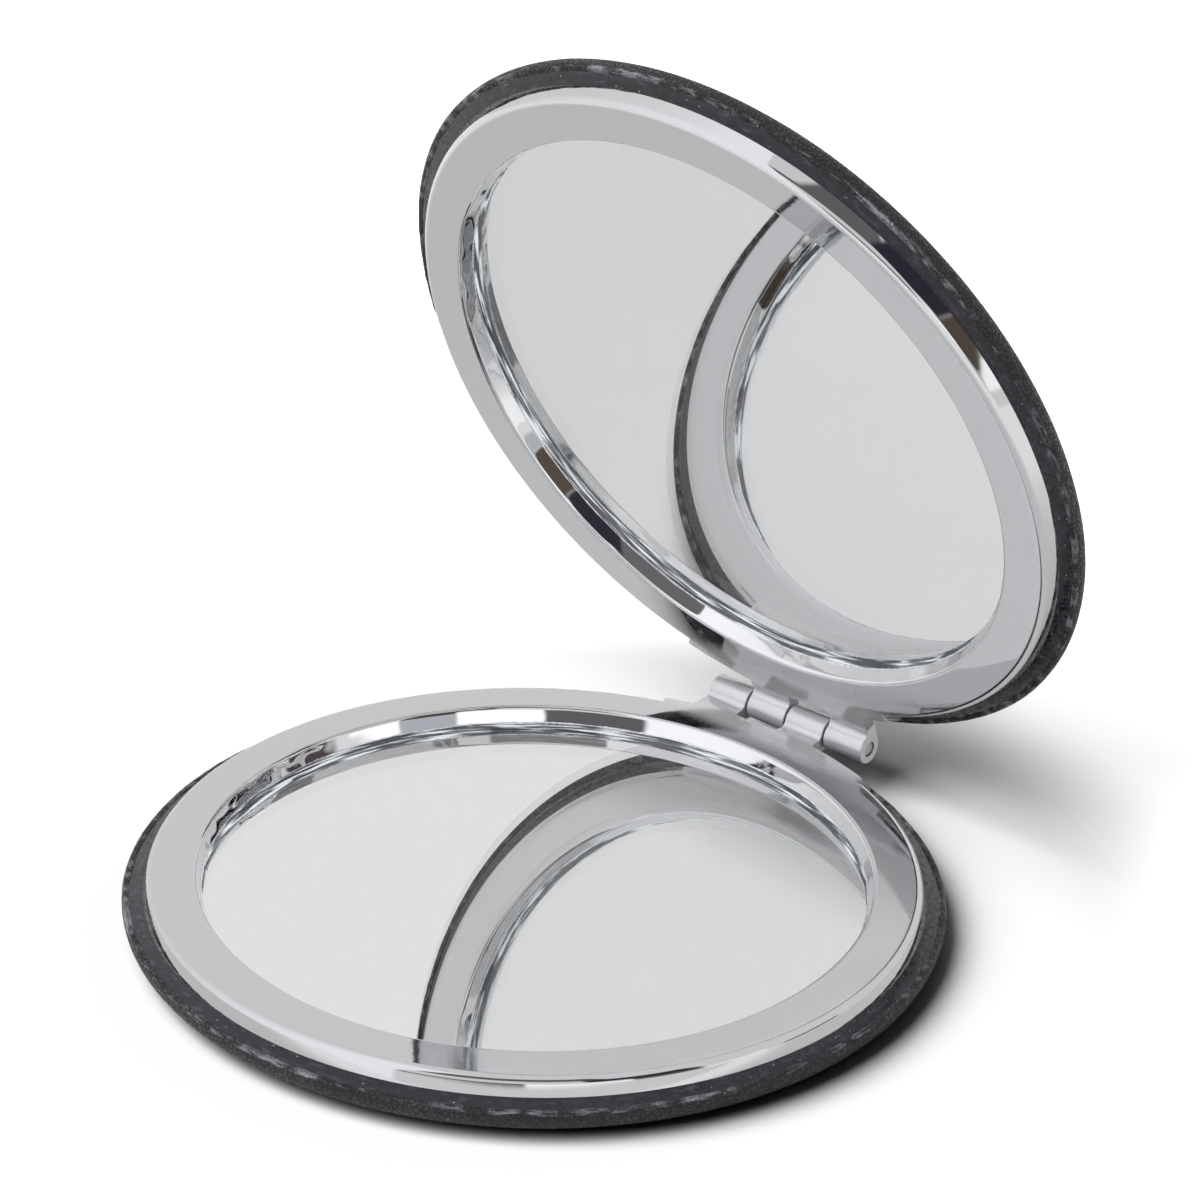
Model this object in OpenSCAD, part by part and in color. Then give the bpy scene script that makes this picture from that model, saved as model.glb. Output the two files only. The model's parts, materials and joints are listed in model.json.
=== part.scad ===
// Folding compact mirror: two alike round halves on one hinge.
// Each half is a chrome frame over a glass mirror, set on a black tray with a padded leather back.
// Origin: centre of the flat under the base. X runs along the hinge, -Y is the opening side, +Z is up.

/* [Whole mirror] */
// Diameter across the leather
cover_d = 70; // [62:0.5:90]
// Angle between the two halves, counted from closed
open_angle = 69; // [0:1:180]
// Gap between the two faces when the mirror is closed
closed_gap = 0.3; // [0.2:0.05:0.6]

/* [Leather cover] */
// Thickness of the leather
leather_t = 0.45; // [0.3:0.05:0.6]
// Radius of the rolled edge, over the leather
edge_r = 1.7; // [1.4:0.05:2]
// Height of the padded crown below the rolled edge
crown_h = 1; // [0.8:0.05:1.4]
// Diameter of the flat that the mirror rests on
rest_d = 50; // [40:1:54]
// Height of the leather's straight side above the rolled edge
side_h = 0.2; // [0.1:0.05:0.3]
// Height of the cut edge above the straight side
cut_h = 0.3; // [0.2:0.05:0.35]
// How far the leather leans in below its upper corner
cut_lean = 0.14; // [0.1:0.02:0.2]
// Height that its upper corner is rounded off
cut_drop = 0.08; // [0.04:0.02:0.12]
// Distance of the upper corner from the outside
cut_back = 0.36; // [0.3:0.02:0.44]

/* [Tray] */
// Height from the widest line of the cover to the foot of the frame
shoulder_h = 0.76; // [0.7:0.02:1]
// Width of the tray's sloping shoulder outside the frame
shoulder_w = 1.1; // [0.8:0.05:1.15]
// Width of the chamfer between the shoulder and the tray's upright side
corner_w = 0.2; // [0.1:0.05:0.3]
// Clearance between the glass and the tray
glass_play = 0.15; // [0.05:0.05:0.3]
// Width of the tray's lip outside the frame's bonding tape
lip_w = 0.35; // [0.2:0.05:0.5]

/* [Chrome frame] */
// Height of the frame above the tray
rim_h = 1.5; // [1.45:0.05:2]
// Width of the frame at its foot
rim_w = 4.95; // [4.4:0.05:5.6]
// Slope of the outer side, in degrees from upright
rim_slope = 17; // [5:1:25]
// Radius of the rounding between the face and the outer side
rim_round = 0.75; // [0.3:0.05:0.9]
// Slope of the inner wall, in degrees from upright
wall_slope = 18; // [5:1:25]
// Radius of the rounding between the face and the inner wall
wall_round = 0.4; // [0.2:0.05:0.6]

/* [Hinge] */
// Distance of the hinge axis outside the leather
hinge_out = 0.8; // [0.6:0.05:1.5]
// Diameter of the knuckles
knuckle_d = 2.8; // [2.4:0.05:2.9]
// Length of one knuckle
knuckle_w = 4.2; // [3:0.1:5]
// Gap between neighbouring knuckles
knuckle_gap = 0.2; // [0.1:0.05:0.3]
// Number of knuckles, shared by the two halves
knuckle_count = 4; // [4:2:6]
// Width of the square-edged boss of the frame that carries the knuckles
boss_w = 22.6; // [18:0.2:26]
// Diameter of the hinge pin
pin_d = 1.3; // [1:0.05:1.5]
// Clearance round the pin in the lid's knuckles
pin_play = 0.03; // [0.02:0.01:0.08]
// Distance of each pin end inside the last knuckle
pin_inset = 0.1; // [0.05:0.05:0.4]

/* [Mirror] */
// Thickness of the glass
glass_t = 1.4; // [1.1:0.05:1.5]
// Width of the glass held under the frame
glass_hold = 1.7; // [1:0.05:2]
// Chamfer on the edge of the glass
glass_chamfer = 0.15; // [0.05:0.05:0.3]
// Thickness of the adhesive tapes
tape_t = 0.15; // [0.1:0.01:0.2]
// Distance of the mirror's tape inside the edge of the glass
tape_inset = 1; // [0.5:0.1:3]

/* [Closing magnets] */
// Length of each magnet
magnet_l = 8; // [5:0.5:9]
// Width of each magnet
magnet_w = 1.8; // [1.2:0.1:1.9]
// Thickness of each magnet
magnet_t = 1.1; // [0.7:0.05:1.2]
// Clearance round each magnet in its pocket
magnet_play = 0.05; // [0.02:0.01:0.08]

/* [Foam pad] */
// Distance of the pad's edge inside the widest line of the cover
foam_inset = 3; // [2.5:0.1:5]

/* [Hidden] */
$fn = 180;
// How far cuts run past what they cut
overrun = 0.5;

// Radii and heights of the cover
cover_r = cover_d / 2;
rest_r = rest_d / 2;
roll_x = cover_r - edge_r;
roll_z = crown_h + edge_r;
// Radius of the crown, which runs smoothly from the rest flat into the rolled edge
crown_r = (pow(roll_x - rest_r, 2) + pow(roll_z, 2) - pow(edge_r, 2)) / (2 * crown_h);
crown_end_deg = atan2(roll_x - rest_r, crown_r - roll_z);
side_z = roll_z + side_h;

// Heights and radii of the tray and the frame
foot_z = roll_z + shoulder_h;
half_h = foot_z + rim_h;
tray_r = cover_r - leather_t;
tray_bottom_z = crown_h + leather_t;
rim_r = cover_r - leather_t - shoulder_w - corner_w;
opening_r = rim_r - rim_w;

// The glass and its place
glass_r = opening_r + glass_hold;
glass_z = foot_z - glass_t;
tray_floor_z = glass_z - tape_t;
well_r = glass_r + glass_play;
// Ring of tape between the frame and the tray
tape_ring_r = rim_r - lip_w;
tape_well_w = 0.35;
tape_well_r = well_r + tape_well_w;

// Magnet centred between the two edges of the tape ring
magnet_y = (tape_ring_r + tape_well_r) / 2;

// Hinge
hinge_y = cover_r + hinge_out;
hinge_z = half_h + closed_gap / 2;
knuckle_r = knuckle_d / 2;
knuckle_pitch = knuckle_w + knuckle_gap;
hinge_w = knuckle_count * knuckle_pitch - knuckle_gap;
// Radius inside the frame's flat face where the boss and the webs begin
root_r = (opening_r + rim_r) / 2;
// Half the angle that the boss takes up
boss_deg = asin(boss_w / 2 / rim_r);
// Underside of the webs
web_z = hinge_z - knuckle_r;

foam_r = roll_x + edge_r - foam_inset;

// Outline, from the axis outwards, of everything under the widest line, moved inwards by inset
module puck_outline(inset) {
    translate([0, inset]) square([rest_r, roll_z - inset]);
    intersection() {
        translate([rest_r, crown_r]) circle(crown_r - inset);
        polygon([
            [rest_r, roll_z],
            [rest_r, -overrun],
            [
                roll_x + (edge_r + overrun) * sin(crown_end_deg),
                roll_z - (edge_r + overrun) * cos(crown_end_deg)
            ],
            [roll_x, roll_z]
        ]);
    }
    intersection() {
        translate([roll_x, roll_z]) circle(edge_r - inset);
        translate([roll_x, 0]) square([edge_r, roll_z]);
    }
}

// Cast ring: flat face, rounded edges and sloping sides
module rim_outline() {
    top_z = half_h - rim_round;
    round_x = rim_r - (top_z - foot_z) * tan(rim_slope) - rim_round / cos(rim_slope);
    lip_z = half_h - wall_round;
    lip_x = opening_r + (lip_z - foot_z) * tan(wall_slope) + wall_round / cos(wall_slope);
    translate([round_x, top_z]) circle(rim_round);
    translate([lip_x, lip_z]) circle(wall_round);
    polygon([
        [opening_r, foot_z],
        [rim_r, foot_z],
        [round_x + rim_round * cos(rim_slope), top_z + rim_round * sin(rim_slope)],
        [round_x, half_h],
        [lip_x, half_h],
        [lip_x - wall_round * cos(wall_slope), lip_z + wall_round * sin(wall_slope)]
    ]);
}

// Upright, square-edged stretch of the frame's outer side beside the knuckles
module boss() {
    reach = (rim_r + overrun) / cos(boss_deg);
    intersection() {
        rotate_extrude() translate([root_r, foot_z]) square([rim_r - root_r, rim_h]);
        translate([0, 0, foot_z - overrun]) linear_extrude(height = rim_h + 2 * overrun) polygon([
            [0, 0],
            [reach * sin(boss_deg), reach * cos(boss_deg)],
            [-reach * sin(boss_deg), reach * cos(boss_deg)]
        ]);
    }
}

// One knuckle with its web; number counts from the -X end
module knuckle(number) {
    translate([number * knuckle_pitch - hinge_w / 2, 0, 0]) {
        translate([0, hinge_y, hinge_z]) rotate([0, 90, 0]) cylinder(h = knuckle_w, r = knuckle_r);
        translate([0, root_r, web_z])
            cube([knuckle_w, hinge_y - root_r, half_h - web_z]);
    }
}

// Frame of one half, with every second knuckle, bored for the pin
module frame_casting(bore_d) {
    difference() {
        union() {
            rotate_extrude() rim_outline();
            boss();
            for (number = [0 : 2 : knuckle_count - 1]) knuckle(number);
        }
        translate([-hinge_w / 2 - overrun, hinge_y, hinge_z]) rotate([0, 90, 0])
            cylinder(h = hinge_w + 2 * overrun, d = bore_d);
    }
}

// Round glass with its edge chamfered
module mirror_glass() {
    rotate_extrude() polygon([
        [0, glass_z],
        [glass_r - glass_chamfer, glass_z],
        [glass_r, glass_z + glass_chamfer],
        [glass_r, foot_z - glass_chamfer],
        [glass_r - glass_chamfer, foot_z],
        [0, foot_z]
    ]);
}

module mirror_tape() {
    translate([0, 0, tray_floor_z]) cylinder(h = tape_t, r = glass_r - tape_inset);
}

module frame_tape() {
    rotate_extrude() translate([tape_well_r, foot_z - tape_t])
        square([tape_ring_r - tape_well_r, tape_t]);
}

// Magnet block, grown on every side by play and standing taller by extra
module magnet_block(play, extra) {
    translate([
        -magnet_l / 2 - play,
        -magnet_y - magnet_w / 2 - play,
        foot_z - tape_t - magnet_t - play
    ]) cube([magnet_l + 2 * play, magnet_w + 2 * play, magnet_t + play + extra]);
}

// Moulded tray: well for the glass, rebate for the tape, pocket for the magnet
module tray() {
    difference() {
        rotate_extrude() {
            puck_outline(leather_t);
            translate([0, roll_z]) square([tray_r, side_h]);
            polygon([
                [0, side_z],
                [tray_r, side_z],
                [tray_r - corner_w, side_z + corner_w],
                [rim_r, foot_z],
                [0, foot_z]
            ]);
        }
        translate([0, 0, tray_floor_z]) cylinder(h = foot_z, r = well_r);
        difference() {
            translate([0, 0, foot_z - tape_t]) cylinder(h = foot_z, r = tape_ring_r);
            translate([0, 0, foot_z - tape_t - overrun])
                cylinder(h = foot_z + 2 * overrun, r = tape_well_r);
        }
        cylinder(h = tray_bottom_z, r = tray_r);
        magnet_block(magnet_play, foot_z);
    }
}

// Foam between the tray and the leather, thick in the middle and thin at its edge
module foam_pad() {
    rotate_extrude() intersection() {
        puck_outline(leather_t);
        square([foam_r, tray_bottom_z]);
    }
}

// Leather skin, from the rest flat round the rolled edge to its cut edge
module leather_skin() {
    rotate_extrude() {
        difference() {
            puck_outline(0);
            puck_outline(leather_t);
        }
        translate([tray_r, roll_z]) square([leather_t, side_h]);
        polygon([
            [tray_r, side_z],
            [cover_r, side_z],
            [cover_r - cut_lean, side_z + cut_h - cut_drop],
            [cover_r - cut_back, side_z + cut_h],
            [tray_r - corner_w, side_z + corner_w]
        ]);
    }
}

module pin() {
    translate([-hinge_w / 2 + pin_inset, hinge_y, hinge_z]) rotate([0, 90, 0])
        cylinder(h = hinge_w - 2 * pin_inset, d = pin_d);
}

// Turns a half over and opens it about the hinge
module on_lid() {
    translate([0, hinge_y, hinge_z]) rotate([-open_angle, 0, 0])
        translate([0, -hinge_y, hinge_z]) rotate([0, 180, 0]) children();
}

module base_frame() {
    color("gainsboro") frame_casting(pin_d);
}

module base_mirror() {
    color("lightsteelblue") mirror_glass();
}

module base_mirror_tape() {
    color("white") mirror_tape();
}

module base_frame_tape() {
    color("white") frame_tape();
}

module base_tray() {
    color([0.12, 0.11, 0.14]) tray();
}

module base_magnet() {
    color("slategray") magnet_block(0, 0);
}

module base_foam() {
    color([0.35, 0.35, 0.36]) foam_pad();
}

module base_leather() {
    color([0.06, 0.06, 0.065]) leather_skin();
}

module hinge_pin() {
    color("silver") pin();
}

module lid_frame() {
    color("gainsboro") on_lid() frame_casting(pin_d + 2 * pin_play);
}

module lid_mirror() {
    color("lightsteelblue") on_lid() mirror_glass();
}

module lid_mirror_tape() {
    color("white") on_lid() mirror_tape();
}

module lid_frame_tape() {
    color("white") on_lid() frame_tape();
}

module lid_tray() {
    color([0.12, 0.11, 0.14]) on_lid() tray();
}

module lid_magnet() {
    color("slategray") on_lid() magnet_block(0, 0);
}

module lid_foam() {
    color([0.35, 0.35, 0.36]) on_lid() foam_pad();
}

module lid_leather() {
    color([0.06, 0.06, 0.065]) on_lid() leather_skin();
}

base_frame();
base_mirror();
base_mirror_tape();
base_frame_tape();
base_tray();
base_magnet();
base_foam();
base_leather();
hinge_pin();
lid_frame();
lid_mirror();
lid_mirror_tape();
lid_frame_tape();
lid_tray();
lid_magnet();
lid_foam();
lid_leather();
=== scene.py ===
import json
from math import acos, asin, atan2, cos, hypot, pi, radians, sin, sqrt, tan

import bmesh
import bpy
from mathutils import Matrix, Vector, noise


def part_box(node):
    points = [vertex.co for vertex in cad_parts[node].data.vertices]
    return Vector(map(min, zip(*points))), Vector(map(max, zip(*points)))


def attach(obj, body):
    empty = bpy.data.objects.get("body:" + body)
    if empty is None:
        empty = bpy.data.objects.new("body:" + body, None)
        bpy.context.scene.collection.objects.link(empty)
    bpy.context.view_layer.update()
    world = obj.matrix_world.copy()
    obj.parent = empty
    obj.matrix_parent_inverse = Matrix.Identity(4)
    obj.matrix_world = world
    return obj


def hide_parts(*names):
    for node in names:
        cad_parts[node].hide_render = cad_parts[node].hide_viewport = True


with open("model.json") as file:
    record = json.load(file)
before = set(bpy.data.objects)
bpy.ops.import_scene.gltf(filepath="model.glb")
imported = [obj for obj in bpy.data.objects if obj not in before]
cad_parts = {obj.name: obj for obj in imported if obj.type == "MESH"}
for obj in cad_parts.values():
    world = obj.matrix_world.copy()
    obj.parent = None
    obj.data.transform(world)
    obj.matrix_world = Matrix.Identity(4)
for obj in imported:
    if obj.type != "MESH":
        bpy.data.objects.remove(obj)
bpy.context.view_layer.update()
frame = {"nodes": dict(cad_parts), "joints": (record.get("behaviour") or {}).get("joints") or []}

# Camera.
# It stands 0.32 m away in front and to the right, looking down at the open mirror,
# with the long lens that the nearly parallel rims call for.
MM = 0.001
photo_width = 1200
focal_pixels = 3871.8
sensor_width = 36
camera_azimuth = radians(39.41)
camera_elevation = radians(26.27)
camera_roll = radians(1.715)
camera_distance = 323.95 * MM
camera_near = 10 * MM
camera_target = Vector((0.19, 7.32, 27.47)) * MM

back = Vector((
    sin(camera_azimuth) * cos(camera_elevation),
    -cos(camera_azimuth) * cos(camera_elevation),
    sin(camera_elevation),
))
right = (-back).cross(Vector((0, 0, 1))).normalized()
up = right.cross(-back)
right, up = (
    right * cos(camera_roll) + up * sin(camera_roll),
    up * cos(camera_roll) - right * sin(camera_roll),
)
camera_data = bpy.data.cameras.new("camera")
camera_data.sensor_width = sensor_width
camera_data.lens = sensor_width * focal_pixels / photo_width
camera_data.clip_start = camera_near
camera = bpy.data.objects.new("camera", camera_data)
camera.matrix_world = (
    Matrix.Translation(camera_target + back * camera_distance)
    @ Matrix((right, up, back)).transposed().to_4x4()
)
bpy.context.scene.collection.objects.link(camera)
bpy.context.scene.camera = camera
bpy.context.scene.view_settings.view_transform = "Standard"


# Studio: a pale floor, a white room with dark things in front on the right, and a soft lamp.
# The camera sees the floor and the room as white; chrome and glass see the room's cards too.
# The floor is painted, not lit, to fade to white away from the mirror and to be darker right
# under its overhang.
floor_size = 6.0
floor_drop = 0.01 * MM
floor_albedo = 0.9
floor_camera_glow = 0.5
fade_start = 48 * MM
fade_end = 63 * MM
contact_start = 31.8 * MM
contact_end = 35.2 * MM
contact_shade = 0.05
floor_shaded_reflected_albedo = 0.765
floor_near = 70 * MM
floor_far = 190 * MM
floor_far_glow = 0.42
room_strength = 0.03
lamp_strength = 4.6
lamp_azimuth = radians(-24)
lamp_elevation = radians(47)
lamp_width = radians(52)
white = (1, 1, 1)
colour_a, colour_b, colour_result = 6, 7, 2


def new_material(name):
    """An empty material with an output, and its nodes and links."""
    material = bpy.data.materials.new(name)
    material.use_nodes = True
    nodes, links = material.node_tree.nodes, material.node_tree.links
    nodes.clear()
    output = nodes.new("ShaderNodeOutputMaterial")
    return material, nodes, links, output


def number_node(nodes, links, operation, *values):
    """A Math node on sockets or plain numbers; gives its output socket."""
    node = nodes.new("ShaderNodeMath")
    node.operation = operation
    for socket, value in zip(node.inputs, values):
        if isinstance(value, (int, float)):
            socket.default_value = value
        else:
            links.new(value, socket)
    return node.outputs[0]


def between(nodes, links, value, low, high, start=0, end=1):
    """start where value is below low, end where it is above high, and smooth between."""
    ramp = nodes.new("ShaderNodeMapRange")
    ramp.interpolation_type = "SMOOTHSTEP"
    for name, number in (
            ("From Min", low), ("From Max", high), ("To Min", start), ("To Max", end)):
        ramp.inputs[name].default_value = number
    links.new(value, ramp.inputs["Value"])
    return ramp.outputs["Result"]


def seen_directly(nodes, links, path):
    """1 for rays from the camera, chrome or glass, and 0 for diffuse light."""
    first = number_node(
        nodes, links, "MAXIMUM", path.outputs["Is Camera Ray"], path.outputs["Is Glossy Ray"])
    return number_node(nodes, links, "MAXIMUM", first, path.outputs["Is Transmission Ray"])


material, nodes, links, output = new_material("studio_floor")
paint = nodes.new("ShaderNodeBsdfDiffuse")
glow = nodes.new("ShaderNodeEmission")
path = nodes.new("ShaderNodeLightPath")
spot = nodes.new("ShaderNodeNewGeometry")
reach = nodes.new("ShaderNodeVectorMath")
reach.operation = "LENGTH"
links.new(spot.outputs["Position"], reach.inputs[0])
far = between(nodes, links, reach.outputs["Value"], floor_near, floor_far, 0, floor_far_glow)
reflected = number_node(
    nodes, links, "MAXIMUM", path.outputs["Is Glossy Ray"], path.outputs["Is Transmission Ray"])
# Chrome and glass see a darker copy of the floor's paint: painted shade.
albedo = between(nodes, links, reflected, 0, 1, floor_albedo, floor_shaded_reflected_albedo)
overhang = between(
    nodes, links, reach.outputs["Value"], contact_start, contact_end, contact_shade, 1)
links.new(number_node(nodes, links, "MULTIPLY", albedo, overhang), paint.inputs["Color"])
reflected = number_node(nodes, links, "MULTIPLY", reflected, far)
faded = between(nodes, links, reach.outputs["Value"], fade_start, fade_end, 0, floor_camera_glow)
strength = number_node(
    nodes, links, "MULTIPLY_ADD", path.outputs["Is Camera Ray"], faded, reflected)
links.new(strength, glow.inputs["Strength"])
total = nodes.new("ShaderNodeAddShader")
links.new(paint.outputs[0], total.inputs[0])
links.new(glow.outputs[0], total.inputs[1])
links.new(total.outputs[0], output.inputs["Surface"])

bm = bmesh.new()
bmesh.ops.create_grid(bm, x_segments=1, y_segments=1, size=floor_size / 2)
bmesh.ops.translate(bm, verts=bm.verts, vec=(0, 0, -floor_drop))
floor_mesh = bpy.data.meshes.new("studio_floor")
bm.to_mesh(floor_mesh)
bm.free()
floor_mesh.materials.append(material)
floor = bpy.data.objects.new("studio_floor", floor_mesh)
bpy.context.scene.collection.objects.link(floor)

# The room's cards: azimuths from the front, to the right, then heights above the horizon,
# the colour, and how soft the first side and the other edges are, with angles in degrees.
# Later cards lie over earlier ones.
cards = (
    ("bright_left", (-63, 4), (-20, 75), (1.38, 1.38, 1.4), (50, 1)),
    ("dark_ceiling", (4, 66), (43, 66), (0.19, 0.185, 0.19), (1, 1)),
    ("black_screen", (56, 90), (25, 48), (0.04, 0.04, 0.055), (1, 1)),
    ("brown_door", (68, 88), (9, 25), (0.13, 0.1, 0.08), (1, 1)),
    ("low_shelf", (5, 39), (3.5, 12.5), (0.16, 0.155, 0.16), (1, 1)),
    ("low_box", (39, 68), (3.5, 12.5), (1.65, 1.65, 1.6), (1, 1)),
    ("grey_wall", (68, 88), (3.5, 9), (0.6, 0.62, 0.66), (1, 1)),
    ("side_box", (88, 106), (3.5, 12), (1.55, 1.55, 1.55), (1, 1)),
    ("dark_side", (112, 131), (-2, 10), (0.1, 0.085, 0.08), (2, 1)),
)

world = bpy.data.worlds.new("studio")
world.use_nodes = True
nodes, links = world.node_tree.nodes, world.node_tree.links
nodes.clear()
output = nodes.new("ShaderNodeOutputWorld")
background = nodes.new("ShaderNodeBackground")
place = nodes.new("ShaderNodeTexCoord")
axes = nodes.new("ShaderNodeSeparateXYZ")
links.new(place.outputs["Generated"], axes.inputs[0])
toward_front = number_node(nodes, links, "MULTIPLY", axes.outputs["Y"], -1)
azimuth = number_node(nodes, links, "ARCTAN2", axes.outputs["X"], toward_front)
height = number_node(nodes, links, "ARCSINE", axes.outputs["Z"])


def rise(value, edge, width):
    """0 below an angle and 1 above it, with a soft edge of that width, in degrees."""
    return between(nodes, links, value, radians(edge - width), radians(edge + width))


colour = None
for name, sides, heights, shade, (start_edge, edge) in cards:
    inside = number_node(
        nodes, links, "SUBTRACT", rise(azimuth, sides[0], start_edge), rise(azimuth, sides[1], edge))
    level = number_node(
        nodes, links, "SUBTRACT", rise(height, heights[0], edge), rise(height, heights[1], edge))
    layer = nodes.new("ShaderNodeMix")
    layer.data_type = "RGBA"
    links.new(number_node(nodes, links, "MULTIPLY", inside, level), layer.inputs["Factor"])
    if colour is None:
        layer.inputs[colour_a].default_value = (*white, 1)
    else:
        links.new(colour, layer.inputs[colour_a])
    layer.inputs[colour_b].default_value = (*shade, 1)
    colour = layer.outputs[colour_result]
path = nodes.new("ShaderNodeLightPath")
shown = nodes.new("ShaderNodeMix")
shown.data_type = "RGBA"
links.new(path.outputs["Is Camera Ray"], shown.inputs["Factor"])
links.new(colour, shown.inputs[colour_a])
shown.inputs[colour_b].default_value = (*white, 1)
links.new(shown.outputs[colour_result], background.inputs["Color"])
strength = nodes.new("ShaderNodeMapRange")
strength.inputs["To Min"].default_value = room_strength
strength.inputs["To Max"].default_value = 1.0
links.new(seen_directly(nodes, links, path), strength.inputs["Value"])
links.new(strength.outputs[0], background.inputs["Strength"])
links.new(background.outputs[0], output.inputs["Surface"])
bpy.context.scene.world = world

lamp_data = bpy.data.lights.new("soft_lamp", "SUN")
lamp_data.energy = lamp_strength
lamp_data.angle = lamp_width
lamp = bpy.data.objects.new("soft_lamp", lamp_data)
lamp.visible_glossy = False
lamp.visible_transmission = False
toward_lamp = Vector((
    sin(lamp_azimuth) * cos(lamp_elevation),
    -cos(lamp_azimuth) * cos(lamp_elevation),
    sin(lamp_elevation),
))
lamp.rotation_euler = toward_lamp.to_track_quat("Z", "Y").to_euler()
bpy.context.scene.collection.objects.link(lamp)


# Where each half goes.
# The lid is a second base, turned over about Y and opened about the hinge.
joint = frame["joints"][0]
hinge = Vector(joint["pos_m"])
open_angle = -radians(joint["range_deg"][0])
on_base = Matrix.Identity(4)
on_lid = (
    Matrix.Translation(hinge)
    @ Matrix.Rotation(-open_angle, 4, "X")
    @ Matrix.Translation((0, -hinge.y, hinge.z))
    @ Matrix.Rotation(pi, 4, "Y")
)
halves = (("base", on_base), ("lid", on_lid))


# Chrome frames.
# Each is a zinc casting with a flat face, rounded edges and a square-edged boss with two
# knuckles, polished and chrome plated; a ring of tape holds it on the tray, over the glass.
mirror_low, mirror_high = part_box("base_mirror")
cover_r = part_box("base_leather")[1].x
foot_z = mirror_high.z
glass_r = mirror_high.x
rim_h = 1.5 * MM
rim_r = 33.25 * MM
opening_r = 28.3 * MM
rim_slope = radians(17)
wall_slope = radians(18)
rim_round = 0.75 * MM
wall_round = 0.4 * MM
foot_lift = 0.02 * MM
frame_foot_z = foot_z + foot_lift
face_z = foot_z + rim_h
wall_top_r = opening_r + rim_h * tan(wall_slope)
spin_steps = 540
weld_gap = 0.0005 * MM
hair = 0.001 * MM
smooth_limit = radians(35)


def spin_profile(bm, steps):
    """Turns the profile in the XZ plane once round the Z axis and closes it."""
    bmesh.ops.spin(
        bm, geom=bm.verts[:] + bm.edges[:], cent=(0, 0, 0), axis=(0, 0, 1),
        dvec=(0, 0, 0), angle=2 * pi, steps=steps, use_merge=True, use_duplicate=False,
    )
    bmesh.ops.remove_doubles(bm, verts=bm.verts, dist=weld_gap)
    bmesh.ops.recalc_face_normals(bm, faces=bm.faces)


def outline(bm, points):
    """A closed outline of (radius, height) points in the XZ plane, as one face."""
    verts = [bm.verts.new((r, 0, z)) for r, z in points]
    return verts, bm.faces.new(verts)


def round_corner(bm, vert, radius, segments):
    """Rounds a corner of an outline; its two edges give the angle."""
    a, b = [(e.other_vert(vert).co - vert.co).normalized() for e in vert.link_edges]
    half_angle = a.angle(b) / 2
    bmesh.ops.bevel(
        bm, geom=[vert], offset=radius / tan(half_angle), offset_type="OFFSET",
        segments=segments, profile=0.5, affect="VERTICES", material=-1, clamp_overlap=False,
    )


def drawn_arc(bm, start, centre, axis, angle, steps):
    """Draws an arc of a profile from a vertex about a centre; gives its last vertex."""
    turned = bmesh.ops.spin(
        bm, geom=[start], cent=centre, axis=axis, dvec=(0, 0, 0),
        angle=angle, steps=steps, use_merge=False, use_duplicate=False,
    )
    return [g for g in turned["geom_last"] if isinstance(g, bmesh.types.BMVert)][0]


def joined(bm, *verts):
    """Edges from each vertex of a profile to the next."""
    for a, b in zip(verts, verts[1:]):
        bm.edges.new((a, b))


def opened_profile(bm):
    """Leaves only the edges of an outline, without those along the axis."""
    bmesh.ops.delete(bm, geom=bm.faces[:], context="FACES_KEEP_BOUNDARY")
    for edge in [e for e in bm.edges if all(v.co.x < hair for v in e.verts)]:
        bm.edges.remove(edge)


def raise_face(bm, vec):
    """Extrudes the outline's face by vec into a closed block."""
    moved = bmesh.ops.extrude_face_region(bm, geom=bm.faces[:])
    bmesh.ops.translate(
        bm, vec=vec, verts=[g for g in moved["geom"] if isinstance(g, bmesh.types.BMVert)])
    bmesh.ops.recalc_face_normals(bm, faces=bm.faces)


def soften(bm, edges, width, segments):
    """Rounds edges of a block a little, as plating and polishing leave them."""
    bmesh.ops.bevel(
        bm, geom=edges, offset=width, offset_type="OFFSET", segments=segments,
        profile=0.5, affect="EDGES", material=-1, clamp_overlap=True,
    )


def finish_piece(bm, name, place, sharp=smooth_limit):
    """The mesh as an object in place, shaded smooth between its sharp edges."""
    mesh = bpy.data.meshes.new(name)
    bm.to_mesh(mesh)
    bm.free()
    local = mesh.attributes.new("half_place", "FLOAT_VECTOR", "POINT")
    for vert, item in zip(mesh.vertices, local.data):
        item.vector = vert.co
    mesh.transform(place)
    mesh.shade_smooth()
    mesh.set_sharp_from_angle(angle=sharp)
    piece = bpy.data.objects.new(name, mesh)
    bpy.context.scene.collection.objects.link(piece)
    even = piece.modifiers.new("flat_faces", "WEIGHTED_NORMAL")
    even.keep_sharp = True
    even.weight = 100
    return piece


def combined(target, other, operation):
    """target's mesh after a boolean with other, which is used up."""
    step = target.modifiers.new(operation.lower(), "BOOLEAN")
    step.operation = operation
    step.solver = "EXACT"
    step.object = other
    bpy.context.view_layer.update()
    graph = bpy.context.evaluated_depsgraph_get()
    result = bpy.data.meshes.new_from_object(target.evaluated_get(graph))
    target.modifiers.remove(step)
    target.data = result
    bpy.data.objects.remove(other)
    return target


def loose_object(bm, name):
    """The mesh as an object to be joined with or cut from another."""
    mesh = bpy.data.meshes.new(name)
    bm.to_mesh(mesh)
    bm.free()
    piece = bpy.data.objects.new(name, mesh)
    bpy.context.scene.collection.objects.link(piece)
    return piece


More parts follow.
